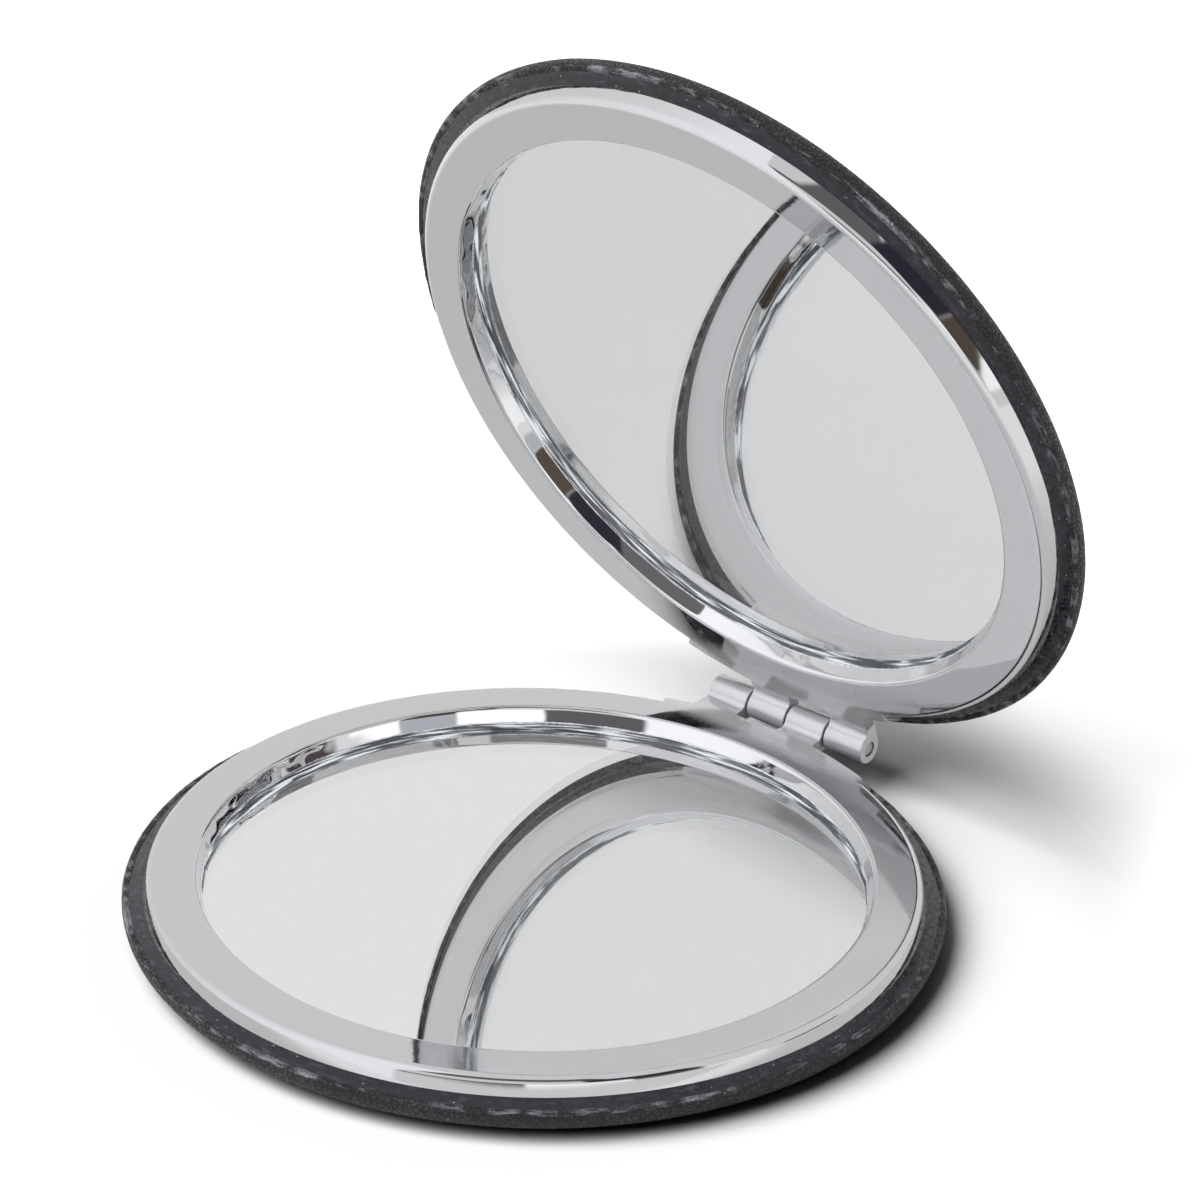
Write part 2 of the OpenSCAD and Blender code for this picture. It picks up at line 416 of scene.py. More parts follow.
knuckle_r = 1.4 * MM
knuckle_w = 4.2 * MM
knuckle_gap = 0.2 * MM
knuckle_count = 4
knuckle_edge = 0.1 * MM
web_fillet = 0.65 * MM
web_z = hinge.z - knuckle_r
boss_w = 22.6 * MM
boss_edge = 0.1 * MM
apron_r = 34.2 * MM
apron_low_z = 3.17 * MM
apron_z = 3.6 * MM
apron_rise = 1.1 * MM
root_r = (opening_r + rim_r) / 2
flare_r = 0.4 * MM
lid_apron_x = 6 * MM
flare_sink = 0.03 * MM
bore_r = 0.72 * MM
knuckle_pitch = knuckle_w + knuckle_gap
hinge_w = knuckle_count * knuckle_pitch - knuckle_gap
along_x = (1, 0, 0)
wall_strips = 8
rim_round_steps, wall_round_steps = 14, 8
boss_steps = 60
barrel_steps = 56
fillet_steps = 10
flare_steps = 8
pin_sides = 64
cutter_steps = 20
cutter_margin = 0.05
fold = radians(30)


def ring():
    """The frame's round, its inner wall cut into strips for the waves of the casting."""
    bm = bmesh.new()
    corners, face = outline(bm, [
        (opening_r, frame_foot_z),
        (rim_r, frame_foot_z),
        (rim_r - rim_h * tan(rim_slope), face_z),
        (wall_top_r, face_z),
    ])
    round_corner(bm, corners[2], rim_round, rim_round_steps)
    round_corner(bm, corners[3], wall_round, wall_round_steps)
    opened_profile(bm)
    wall = [
        e for e in bm.edges
        if all(v.co.x < wall_top_r and v.co.z < face_z for v in e.verts)
        and abs(e.verts[0].co.z - e.verts[1].co.z) > rim_h / 3
    ]
    bmesh.ops.subdivide_edges(bm, edges=wall, cuts=wall_strips - 1)
    spin_profile(bm, spin_steps)
    return loose_object(bm, "ring")


def boss():
    """The upright stretch of the ring's outer side, with an apron over the tray's shoulder."""
    half_turn = asin(boss_w / 2 / rim_r)
    bm = bmesh.new()
    outline(bm, [
        (root_r, frame_foot_z), (rim_r, frame_foot_z), (apron_r, apron_low_z),
        (apron_r, apron_z), (rim_r, apron_z + apron_rise), (rim_r, face_z), (root_r, face_z)])
    opened_profile(bm)
    bmesh.ops.rotate(
        bm, verts=bm.verts, cent=(0, 0, 0), matrix=Matrix.Rotation(pi / 2 - half_turn, 3, "Z"))
    bmesh.ops.spin(
        bm, geom=bm.verts[:] + bm.edges[:], cent=(0, 0, 0), axis=(0, 0, 1), dvec=(0, 0, 0),
        angle=2 * half_turn, steps=boss_steps, use_merge=False, use_duplicate=False,
    )
    bmesh.ops.holes_fill(bm, edges=bm.edges[:], sides=0)
    bmesh.ops.recalc_face_normals(bm, faces=bm.faces)
    end_x = boss_w / 2 * root_r / rim_r - MM / 2
    outside = [
        e for e in bm.edges
        if all(hypot(*v.co.xy) > rim_r - boss_edge / 2 for v in e.verts)
        and (e.verts[0].co.z + e.verts[1].co.z) / 2 > foot_z + rim_h / 3
        and len({f.normal.to_tuple(1) for f in e.link_faces}) > 1
    ]
    ends = [
        e for e in bm.edges
        if all(v.co.z > face_z - boss_edge / 2 and abs(v.co.x) > end_x for v in e.verts)
        and abs(hypot(*e.verts[0].co.xy) - hypot(*e.verts[1].co.xy)) > rim_h / 3
    ]
    sharp = [e for e in set(outside + ends) if e.calc_face_angle(0) > fold]
    soften(bm, sharp, boss_edge, 3)
    return loose_object(bm, "boss")


def apron_cutter():
    """Takes the apron off one end of the boss, where the leather shows beside the hinge."""
    start = acos(boss_w / 2 / rim_r) - cutter_margin
    bm = bmesh.new()
    outline(bm, [
        (rim_r + flare_sink, apron_low_z - boss_edge), (apron_r + MM, apron_low_z - boss_edge),
        (apron_r + MM, apron_z + apron_rise), (rim_r + flare_sink, apron_z + apron_rise)])
    opened_profile(bm)
    bmesh.ops.rotate(bm, verts=bm.verts, cent=(0, 0, 0), matrix=Matrix.Rotation(start, 3, "Z"))
    bmesh.ops.spin(
        bm, geom=bm.verts[:] + bm.edges[:], cent=(0, 0, 0), axis=(0, 0, 1), dvec=(0, 0, 0),
        angle=acos(lid_apron_x / apron_r) - start, steps=cutter_steps,
        use_merge=False, use_duplicate=False,
    )
    bmesh.ops.holes_fill(bm, edges=bm.edges[:], sides=0)
    bmesh.ops.recalc_face_normals(bm, faces=bm.faces)
    return loose_object(bm, "apron_cutter")


def box_cutter(low, high):
    """A block between two corners, to be cut from another piece."""
    bm = bmesh.new()
    bmesh.ops.create_cube(bm, size=1)
    bmesh.ops.scale(bm, verts=bm.verts, vec=high - low)
    bmesh.ops.translate(bm, verts=bm.verts, vec=(low + high) / 2)
    return loose_object(bm, "cutter")


def knuckle(number):
    """A barrel and its web, with a hollow fillet between them, as one prism along X."""
    start_x = number * knuckle_pitch - hinge_w / 2
    lift = (face_z + web_fillet - hinge.z) / (knuckle_r + web_fillet)
    bm = bmesh.new()
    lowest = bm.verts.new((start_x, hinge.y, web_z))
    barrel_end = drawn_arc(
        bm, lowest, (start_x, hinge.y, hinge.z), along_x, 3 * pi / 2 - asin(lift), barrel_steps)
    fillet_y = hinge.y - (knuckle_r + web_fillet) * sqrt(1 - lift ** 2)
    fillet_end = drawn_arc(
        bm, barrel_end, (start_x, fillet_y, face_z + web_fillet), along_x, asin(lift) - pi / 2,
        fillet_steps)
    top_root = bm.verts.new((start_x, root_r, face_z))
    low_root = bm.verts.new((start_x, root_r, web_z))
    joined(bm, fillet_end, top_root, low_root, lowest)
    bmesh.ops.contextual_create(bm, geom=bm.edges[:])
    raise_face(bm, (knuckle_w, 0, 0))
    ends = [
        e for e in bm.edges
        if abs(e.verts[0].co.x - e.verts[1].co.x) < hair
        and max(v.co.y for v in e.verts) > rim_r
    ]
    soften(bm, ends, knuckle_edge, 3)
    return loose_object(bm, f"knuckle_{number}")


def web_flare(number):
    """Where a web meets the boss it widens in two hollow corners."""
    start_x = number * knuckle_pitch - hinge_w / 2
    end_x = start_x + knuckle_w
    near_left, near_right = start_x - 2 * flare_r, end_x + 2 * flare_r
    tip_y = rim_r + 1.2 * flare_r

    def rim_y(x):
        return sqrt(rim_r ** 2 - x ** 2) - flare_sink

    bm = bmesh.new()
    corners = [bm.verts.new((x, y, web_z)) for x, y in (
        (near_left, root_r), (near_left, rim_y(near_left)), (start_x, rim_y(start_x)),
        (start_x, tip_y), (end_x, tip_y), (end_x, rim_y(end_x)),
        (near_right, rim_y(near_right)), (near_right, root_r),
    )]
    bm.faces.new(corners)
    for vert in (corners[2], corners[5]):
        round_corner(bm, vert, flare_r, flare_steps)
    raise_face(bm, (0, 0, face_z - web_z))
    return loose_object(bm, f"flare_{number}")


def bore():
    """The hole for the pin, through all the knuckles."""
    bm = bmesh.new()
    bmesh.ops.create_cone(
        bm, cap_ends=True, segments=pin_sides, radius1=bore_r, radius2=bore_r,
        depth=hinge_w + 2 * MM,
    )
    bmesh.ops.rotate(bm, verts=bm.verts, matrix=Matrix.Rotation(pi / 2, 3, "Y"))
    bmesh.ops.translate(bm, verts=bm.verts, vec=hinge)
    return loose_object(bm, "bore")


casting = combined(ring(), boss(), "UNION")
for number in range(0, knuckle_count, 2):
    casting = combined(casting, web_flare(number), "UNION")
    casting = combined(casting, knuckle(number), "UNION")
casting = combined(casting, bore(), "DIFFERENCE")
lid_casting = bpy.data.objects.new("lid_casting", casting.data.copy())
bpy.context.scene.collection.objects.link(lid_casting)
lid_casting = combined(lid_casting, apron_cutter(), "DIFFERENCE")


def own_place(nodes):
    """Places measured in the half's own frame, before it is turned over or opened."""
    place = nodes.new("ShaderNodeAttribute")
    place.attribute_name = "half_place"
    return place.outputs["Vector"]


def object_place(nodes):
    """Places measured in the piece's own mesh."""
    return nodes.new("ShaderNodeTexCoord").outputs["Object"]


def spots(nodes, links, place, size, detail=2, stretch=(1, 1, 1)):
    """Noise with spots about size long, shortened along each axis by stretch."""
    mapping = nodes.new("ShaderNodeMapping")
    mapping.inputs["Scale"].default_value = [part / size for part in stretch]
    links.new(place, mapping.inputs["Vector"])
    texture = nodes.new("ShaderNodeTexNoise")
    texture.inputs["Scale"].default_value = 1
    texture.inputs["Detail"].default_value = detail
    links.new(mapping.outputs["Vector"], texture.inputs["Vector"])
    return texture.outputs["Fac"]


def cells(nodes, links, place, size, feature):
    """A Voronoi texture with cells about size wide."""
    texture = nodes.new("ShaderNodeTexVoronoi")
    texture.feature = feature
    texture.inputs["Scale"].default_value = 1 / size
    links.new(place, texture.inputs["Vector"])
    return texture.outputs


def bumped(nodes, links, height, depth, under=None):
    """The normal of a surface whose height, from 0 to 1, stands for depth in metres."""
    bump = nodes.new("ShaderNodeBump")
    bump.inputs["Distance"].default_value = depth
    links.new(height, bump.inputs["Height"])
    if under is not None:
        links.new(under, bump.inputs["Normal"])
    return bump.outputs["Normal"]


def blended(nodes, links, share, first, second):
    """A colour that goes from first to second, each a socket or three numbers."""
    mix = nodes.new("ShaderNodeMix")
    mix.data_type = "RGBA"
    links.new(share, mix.inputs["Factor"])
    for socket, value in ((mix.inputs[colour_a], first), (mix.inputs[colour_b], second)):
        if isinstance(value, tuple):
            socket.default_value = (*value, 1)
        else:
            links.new(value, socket)
    return mix.outputs[colour_result]


noise_span = (0.3, 0.7)


def worn(nodes, links, shader, marks, roughness, depth):
    """Lets marks, from 0 to 1, change a surface's roughness and raise it by depth."""
    links.new(between(nodes, links, marks, *noise_span, *roughness), shader.inputs["Roughness"])
    links.new(bumped(nodes, links, marks, depth), shader.inputs["Normal"])


def metal(name, colour):
    """A bare metal shader of one colour; the rest is linked by its caller."""
    material, nodes, links, output = new_material(name)
    shader = nodes.new("ShaderNodeBsdfPrincipled")
    shader.inputs["Base Color"].default_value = (*colour, 1)
    shader.inputs["Metallic"].default_value = 1
    links.new(shader.outputs[0], output.inputs["Surface"])
    return material, nodes, links, shader


# Polished plating: nearly a mirror, with a faint orange peel and wiping marks. Its colour is
# painted brighter on the inner wall, a painted highlight, and darker and bluer at the knuckles,
# painted shade. By the knuckles it is satin and streaked, where the polishing wheel doesn't
# reach, and shaded as half metal, a stand-in that sets its grey.
plate_colour = (0.54, 0.545, 0.555)
hinge_shaded_plate_colour = (0.47, 0.48, 0.5)
wall_highlight_plate_colour = (0.66, 0.665, 0.675)
plate_roughness = (0.03, 0.055)
hinge_roughness = 0.08
hinge_streak_roughness = (-0.02, 0.1)
hinge_metallic = 0.5
satin_from, satin_to = 28 * MM, 32 * MM
grey_from, grey_to = 29.2 * MM, 31.5 * MM
wall_highlight_from, wall_highlight_to = 29.1 * MM, 29.3 * MM
webs_reach = 0.6 * MM
wiping_size, wiping_span, wiping_stretch = 6 * MM, (0.35, 0.75), (1, 0.4, 1)
streak_stretch = (0.05, 1, 1)
streak_size, streak_depth = 0.16 * MM, 0.012 * MM
peel_size, peel_depth = 0.9 * MM, 0.0012 * MM

material, nodes, links, shader = metal("chrome_plate", plate_colour)
place = own_place(nodes)
axes = nodes.new("ShaderNodeSeparateXYZ")
links.new(place, axes.inputs[0])
at_hinge = between(nodes, links, axes.outputs["Y"], rim_r - webs_reach, rim_r + webs_reach)
wiping = spots(nodes, links, place, wiping_size, 4, wiping_stretch)
streaks = spots(nodes, links, place, streak_size, 3, streak_stretch)
dullness = between(nodes, links, wiping, *wiping_span, *plate_roughness)
near_hinge = between(nodes, links, axes.outputs["Y"], satin_from, satin_to, 0, hinge_roughness)
dullness = number_node(nodes, links, "ADD", dullness, near_hinge)
hinge_dullness = between(nodes, links, streaks, *noise_span, *hinge_streak_roughness)
reach = nodes.new("ShaderNodeVectorMath")
reach.operation = "LENGTH"
links.new(place, reach.inputs[0])
wall_highlight_share = between(nodes, links, reach.outputs["Value"], wall_highlight_from, wall_highlight_to, 1, 0)
# Painted shade at the knuckles and a painted highlight on the inner wall, in the plate's colour.
plate = blended(nodes, links, at_hinge, plate_colour, hinge_shaded_plate_colour)
plate = blended(nodes, links, wall_highlight_share, plate, wall_highlight_plate_colour)
links.new(plate, shader.inputs["Base Color"])
metallic = between(nodes, links, axes.outputs["Y"], grey_from, grey_to, 1, hinge_metallic)
links.new(metallic, shader.inputs["Metallic"])
dullness = number_node(nodes, links, "MULTIPLY_ADD", at_hinge, hinge_dullness, dullness)
links.new(dullness, shader.inputs["Roughness"])
peel = spots(nodes, links, place, peel_size, 1)
normal = bumped(nodes, links, peel, peel_depth)
hinge_streaks = number_node(nodes, links, "MULTIPLY", at_hinge, streaks)
links.new(bumped(nodes, links, hinge_streaks, streak_depth, normal), shader.inputs["Normal"])
chrome = material

# Underside of the casting, which shows only in the mirrors, as a streaked line at the foot of the
# walls. The streaks are drawn, and their own light is a stand-in, painted glow in their colour:
# the lamp doesn't reach here.
tooth_size, tooth_depth = 0.42 * MM, 0.05 * MM
streak_and_glow_colours = ((0.05, 0.055, 0.065), (0.92, 0.96, 1))
tooth_span = (0.46, 0.62)
tooth_roughness = (0.32, 0.6)
painted_glow_strength = 1.15
comb_length = 12

material, nodes, links, output = new_material("combed_underside_painted_glow")
shader = nodes.new("ShaderNodeBsdfPrincipled")
links.new(shader.outputs[0], output.inputs["Surface"])
place = own_place(nodes)
axes = nodes.new("ShaderNodeSeparateXYZ")
links.new(place, axes.inputs[0])
turn = number_node(nodes, links, "ARCTAN2", axes.outputs["Y"], axes.outputs["X"])
reach = nodes.new("ShaderNodeVectorMath")
reach.operation = "LENGTH"
links.new(place, reach.inputs[0])
combed = nodes.new("ShaderNodeCombineXYZ")
along = number_node(nodes, links, "MULTIPLY", turn, opening_r / comb_length)
links.new(along, combed.inputs["X"])
links.new(reach.outputs["Value"], combed.inputs["Y"])
teeth = spots(nodes, links, combed.outputs[0], tooth_size, 4)
streaks_and_painted_glow = blended(nodes, links, between(nodes, links, teeth, *tooth_span), *streak_and_glow_colours)
links.new(streaks_and_painted_glow, shader.inputs["Base Color"])
# The streaks' colour is also the light they give off: painted glow.
links.new(streaks_and_painted_glow, shader.inputs["Emission Color"])
shader.inputs["Emission Strength"].default_value = painted_glow_strength
worn(nodes, links, shader, teeth, tooth_roughness, tooth_depth)
combed_underside_painted_glow = material

# Cut ends of the knuckles: plated over a rough sawn face.
sawn_colour = (0.75, 0.76, 0.78)
sawn_roughness = (0.4, 0.65)
sawn_size, sawn_depth = 0.12 * MM, 0.04 * MM

material, nodes, links, shader = metal("sawn_chrome", sawn_colour)
grit = spots(nodes, links, own_place(nodes), sawn_size, 3)
worn(nodes, links, shader, grit, sawn_roughness, sawn_depth)
sawn_chrome = material

wave_length = 4.2 * MM
wave_depth = 0.17 * MM
calm_share = 0.08
wavy_stretch = {"base": (170, 218), "lid": (306, 362)}
stretch_fade = 6
wave_span = (0.02, 0.98)
wave_slant = 0.9
fine_share, fine_rate = 0.3, 2.7
down_limit = -0.9
side_limit = 0.9
face_finish, under_finish, end_finish = 0, 1, 2
lid_wave_shift = 90


def waved(bm, half, seed):
    """Lets the inner wall wander in and out a little, most where the casting was wavy."""
    first, last = wavy_stretch[half]
    for vert in bm.verts:
        radius = hypot(*vert.co.xy)
        height = (vert.co.z - frame_foot_z) / rim_h
        if radius > wall_top_r + wall_round or not wave_span[0] < height < wave_span[1]:
            continue
        turn = atan2(vert.co.y, vert.co.x) % (2 * pi)
        degrees = turn * 180 / pi
        inside = min(degrees - first, last - degrees) / stretch_fade
        share = calm_share + (1 - calm_share) * min(max(inside, 0), 1)
        spot = Vector((turn * opening_r, vert.co.z * wave_slant, seed * MM)) / wave_length
        ripple = noise.noise(spot) + fine_share * noise.noise(spot * fine_rate)
        vert.co.xy *= 1 + ripple * share * wave_depth * height * (1 - height) * 4 / radius


for seed, (half, place) in enumerate(halves):
    bm = bmesh.new()
    bm.from_mesh((casting, lid_casting)[seed].data)
    waved(bm, half, lid_wave_shift * seed)
    bm.normal_update()
    for face in bm.faces:
        centre = face.calc_center_median()
        if face.normal.z < down_limit and centre.z < foot_z + rim_h / 10:
            face.material_index = under_finish
        elif abs(face.normal.x) > side_limit and centre.y > rim_r:
            face.material_index = end_finish
        else:
            face.material_index = face_finish
    piece = finish_piece(bm, f"{half}_chrome_frame", place)
    for finish in (chrome, combed_underside_painted_glow, sawn_chrome):
        piece.data.materials.append(finish)
    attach(piece, half)
    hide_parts(f"{half}_frame")
bpy.data.objects.remove(casting)
bpy.data.objects.remove(lid_casting)


# Burr at the foot of each frame's inner wall.
# A thin uneven bead of plating along the sharp lower edge of the casting, which glints
# as a broken line on the glass; it is part of the frame and moves with it.
bead_r = 0.055 * MM
bead_steps = 1440
bead_low, bead_high = 0.45, 1.9
small_lump, large_lump = 0.45 * MM, 1.7 * MM
lump_gain, lump_start = 0.7, 0.35
bead_z = frame_foot_z + bead_r
bead_sides = 8
lid_bead_shift = 50 * MM
burr_colour = (0.82, 0.84, 0.87)
burr_roughness = (0.15, 0.45)
burr_size, burr_depth = 0.2 * MM, 0.02 * MM

material, nodes, links, shader = metal("plating_burr", burr_colour)
grit = spots(nodes, links, own_place(nodes), burr_size, 3)
worn(nodes, links, shader, grit, burr_roughness, burr_depth)
burr = material

for seed, (half, place) in enumerate(halves):
    bm = bmesh.new()
    bmesh.ops.create_circle(bm, cap_ends=False, segments=bead_sides, radius=bead_r)
    bmesh.ops.rotate(bm, verts=bm.verts, matrix=Matrix.Rotation(pi / 2, 3, "X"))
    bmesh.ops.translate(bm, verts=bm.verts, vec=(opening_r, 0, bead_z))
    spin_profile(bm, bead_steps)
    for vert in bm.verts:
        turn = atan2(vert.co.y, vert.co.x)
        spot = Vector((vert.co.x, vert.co.y, seed * lid_bead_shift))
        lumps = noise.noise(spot / small_lump) + noise.noise(spot / large_lump)
        swell = min(max(lumps * lump_gain + lump_start, 0), 1)
        size = bead_low + (bead_high - bead_low) * swell
        middle = Vector((opening_r * cos(turn), opening_r * sin(turn), bead_z))
        vert.co = middle + (vert.co - middle) * size
        vert.co.z = max(vert.co.z, frame_foot_z - foot_lift / 2)
    piece = finish_piece(bm, f"{half}_plating_burr", place)
    piece.data.materials.append(burr)
    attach(piece, half)


# Hinge pin.
# A round steel pin, pressed into the base's knuckles, on which the lid's knuckles turn;
# its sheared ends are rough and bright.
pin_low, pin_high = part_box("hinge_pin")
pin_r = (pin_high.z - pin_low.z) / 2
pin_edge = 0.1 * MM
steel_colour = (0.62, 0.62, 0.62)
steel_roughness = (0.3, 0.55)
shear_size, shear_depth, shear_stretch = 0.1 * MM, 0.03 * MM, (1, 0.5, 0.5)

material, nodes, links, shader = metal("pin_steel", steel_colour)
marks = spots(nodes, links, object_place(nodes), shear_size, 3, shear_stretch)
worn(nodes, links, shader, marks, steel_roughness, shear_depth)

bm = bmesh.new()
bmesh.ops.create_cone(
    bm, cap_ends=True, segments=pin_sides, radius1=pin_r, radius2=pin_r,
    depth=pin_high.x - pin_low.x)
bmesh.ops.rotate(bm, verts=bm.verts, matrix=Matrix.Rotation(pi / 2, 3, "Y"))
bmesh.ops.translate(bm, verts=bm.verts, vec=hinge)
soften(bm, [e for e in bm.edges if abs(e.verts[0].co.x - e.verts[1].co.x) < MM], pin_edge, 3)
piece = finish_piece(bm, "steel_hinge_pin", on_base)
piece.data.materials.append(material)
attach(piece, "base")
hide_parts("hinge_pin")


# Mirrors.
# Each is a round of clear float glass with a ground edge, silvered on its back; it is
# stuck to the tray's floor and its edge lies under the frame.
glass_chamfer = 0.15 * MM
tape_gap = 0.02 * MM
glass_z = mirror_low.z + tape_gap
glass_colour = (0.99, 0.992, 0.993)
silver_colour = (0.74, 0.745, 0.745)
glass_ior = 1.5
glass_sides = 360
same_level = 0.01 * MM
smudge_size, smudge_span, smudge_roughness = 9 * MM, (0.52, 0.75), (0, 0.018)
swell_size, swell_depth = 14 * MM, 0.0006 * MM
haze_size, haze_span, haze_roughness = 5 * MM, (0.4, 0.8), (0, 0.008)

material, nodes, links, output = new_material("clear_glass")
clear = nodes.new("ShaderNodeBsdfPrincipled")
clear.inputs["Base Color"].default_value = (*glass_colour, 1)
clear.inputs["IOR"].default_value = glass_ior
clear.inputs["Transmission Weight"].default_value = 1
place = own_place(nodes)
smudges = between(
    nodes, links, spots(nodes, links, place, smudge_size, 3), *smudge_span, *smudge_roughness)
links.new(smudges, clear.inputs["Roughness"])
swell = bumped(nodes, links, spots(nodes, links, place, swell_size, 1), swell_depth)
links.new(swell, clear.inputs["Normal"])
links.new(clear.outputs[0], output.inputs["Surface"])
glass = material

material, nodes, links, shader = metal("silver_backing", silver_colour)
haze = spots(nodes, links, own_place(nodes), haze_size, 2)
links.new(between(nodes, links, haze, *haze_span, *haze_roughness), shader.inputs["Roughness"])
silver = material

for half, place in halves:
    bm = bmesh.new()
    bmesh.ops.create_circle(
        bm, cap_ends=True, cap_tris=False, segments=glass_sides, radius=glass_r)
    bmesh.ops.translate(bm, verts=bm.verts, vec=(0, 0, glass_z))
    raise_face(bm, (0, 0, foot_z - glass_z))
    rims = [e for e in bm.edges if abs(e.verts[0].co.z - e.verts[1].co.z) < same_level]
    soften(bm, rims, glass_chamfer, 1)
    bm.normal_update()
    for face in bm.faces:
        face.material_index = int(face.normal.z < down_limit)
    piece = finish_piece(bm, f"{half}_glass", place)
    piece.data.materials.append(glass)
    piece.data.materials.append(silver)
    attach(piece, half)
    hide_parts(f"{half}_mirror")


# Trays.
# Each is moulded in glossy black plastic with a purple cast: a well for the glass, a
# rebate for the tape, a magnet's pocket, and the sloping shoulder that shows.
leather_t = 0.45 * MM
rest_r = 25 * MM
crown_h = 1.0 * MM
roll_r = 1.7 * MM
roll_x = cover_r - roll_r
roll_z = crown_h + roll_r
side_z = roll_z + 0.2 * MM
tray_r = cover_r - leather_t
corner_w = 0.2 * MM
shoulder_edge = 0.05 * MM
well_r = glass_r + 0.15 * MM
tape_low, tape_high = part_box("base_frame_tape")
tape_inner_r = well_r + 0.35 * MM
well_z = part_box("base_mirror_tape")[0].z
tray_bottom_z = crown_h + leather_t
against_y = (0, -1, 0)
mark_stretch = 8
plastic_colours = ((0.006, 0.005, 0.007), (0.016, 0.013, 0.019))
plastic_gloss = 0.4
cloud_size = 4 * MM
rub_colour, rub_size, rub_span = (0.05, 0.046, 0.057), 0.17 * MM, (0.5, 0.8)
dust_colour, dust_gap, dust_share = (0.3, 0.29, 0.3), 0.9 * MM, 0.07
scuff_size, scuff_depth, scuff_stretch = 0.5 * MM, 0.01 * MM, (1, 1, 3)
scuff_span, scuff_roughness = (0.35, 0.7), (0.16, 0.5)
roll_steps = 14
tray_steps = 360
magnet_play = 0.05 * MM


def along_rim(nodes, links, place):
    """Places that stretch marks eightfold along the rim."""
    axes = nodes.new("ShaderNodeSeparateXYZ")
    links.new(place, axes.inputs[0])
    turn = number_node(nodes, links, "ARCTAN2", axes.outputs["Y"], axes.outputs["X"])
    unrolled = nodes.new("ShaderNodeCombineXYZ")
    along = number_node(nodes, links, "MULTIPLY", turn, cover_r / mark_stretch)
    links.new(along, unrolled.inputs["X"])
    links.new(axes.outputs["Z"], unrolled.inputs["Y"])
    return unrolled.outputs[0]


material, nodes, links, output = new_material("moulded_black")
gloss = nodes.new("ShaderNodeBsdfPrincipled")
place = own_place(nodes)
scuffs = spots(nodes, links, place, scuff_size, 4, scuff_stretch)
cloud = spots(nodes, links, place, cloud_size, 3)
plastic = blended(nodes, links, cloud, *plastic_colours)
rubbed = spots(nodes, links, along_rim(nodes, links, place), rub_size, 5)
plastic = blended(nodes, links, between(nodes, links, rubbed, *rub_span), plastic, rub_colour)
gloss.inputs["Specular IOR Level"].default_value = plastic_gloss
dust = cells(nodes, links, place, dust_gap, "F1")
speck = number_node(nodes, links, "LESS_THAN", dust["Distance"], dust_share)
links.new(blended(nodes, links, speck, plastic, dust_colour), gloss.inputs["Base Color"])
scuffed = between(nodes, links, scuffs, *scuff_span, *scuff_roughness)
links.new(scuffed, gloss.inputs["Roughness"])
links.new(bumped(nodes, links, scuffs, scuff_depth), gloss.inputs["Normal"])
links.new(gloss.outputs[0], output.inputs["Surface"])
moulded = material

bm = bmesh.new()
middle = bm.verts.new((0, 0, tray_bottom_z))
roll_start = bm.verts.new((roll_x, 0, tray_bottom_z))
roll_end = drawn_arc(bm, roll_start, (roll_x, 0, roll_z), against_y, pi / 2, roll_steps)
upper = [bm.verts.new((r, 0, z)) for r, z in (
    (tray_r, side_z), (tray_r - corner_w, side_z + corner_w), (rim_r, foot_z),
    (tape_high.x, foot_z), (tape_high.x, tape_low.z), (tape_inner_r, tape_low.z),
    (tape_inner_r, foot_z), (well_r, foot_z), (well_r, well_z), (0, well_z),
)]
joined(bm, roll_end, *upper, middle, roll_start)
bmesh.ops.contextual_create(bm, geom=bm.edges[:])
round_corner(bm, upper[1], shoulder_edge, 3)
opened_profile(bm)
spin_profile(bm, tray_steps)
tray_body = loose_object(bm, "tray_body")
magnet_low, magnet_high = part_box("base_magnet")
play = Vector((magnet_play, magnet_play, magnet_play))
tray_body = combined(
    tray_body, box_cutter(magnet_low - play, magnet_high + play + Vector((0, 0, MM))), "DIFFERENCE")
for half, place in halves:
    bm = bmesh.new()
    bm.from_mesh(tray_body.data)
    piece = finish_piece(bm, f"{half}_moulded_tray", place)
    piece.data.materials.append(moulded)
    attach(piece, half)
    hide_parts(f"{half}_tray")
bpy.data.objects.remove(tray_body)


# Leather covers.
# Black imitation leather with a fine pressed grain, pulled over the foam and the tray's rolled
# edge and cut off above it, where the pale backing shows in the uneven cut, with painted glints.
cut_lean = 0.14 * MM
cut_h = 0.3 * MM
cut_drop = 0.08 * MM
cut_back = 0.36 * MM
crown_r = ((roll_x - rest_r) ** 2 + roll_z ** 2 - roll_r ** 2) / (2 * crown_h)
crown_angle = atan2(roll_x - rest_r, crown_r - roll_z)
grain_size = 0.42 * MM
leather_steps = 720
cut_round = 0.08 * MM
cut_wander = 0.05 * MM
skin_wander = 0.02 * MM
small_rag, side_rag, large_rag = 0.9 * MM, 1.4 * MM, 4 * MM
skin_wave = 6 * MM
skin_colours = ((0.008, 0.0075, 0.009), (0.026, 0.025, 0.027))
skin_roughness = (0.66, 0.36)
skin_depth, skin_span, skin_gloss = 0.06 * MM, (0.2, 1.2), 0.38
bend_size, pebble_edge = 0.6 * MM, 0.3
fine_size, fine_share = 0.1 * MM, 0.35
wear_size = 5 * MM
lint_colour, lint_gap, lint_share = (0.35, 0.34, 0.34), 1.3 * MM, 0.05
backing_and_glint_colour = (0.19, 0.19, 0.21)
glint_fray_size, long_glint_fray_size, long_glint_fray_share = 0.2 * MM, 9 * MM, 0.6
glint_fray_span = (0.76, 1.06)
cut_from, cut_to = side_z - 0.05 * MM, side_z + 0.12 * MM
curve_steps = 16
flat_rings = 10
cover_fold = radians(60)
lid_cover_shift = 70 * MM

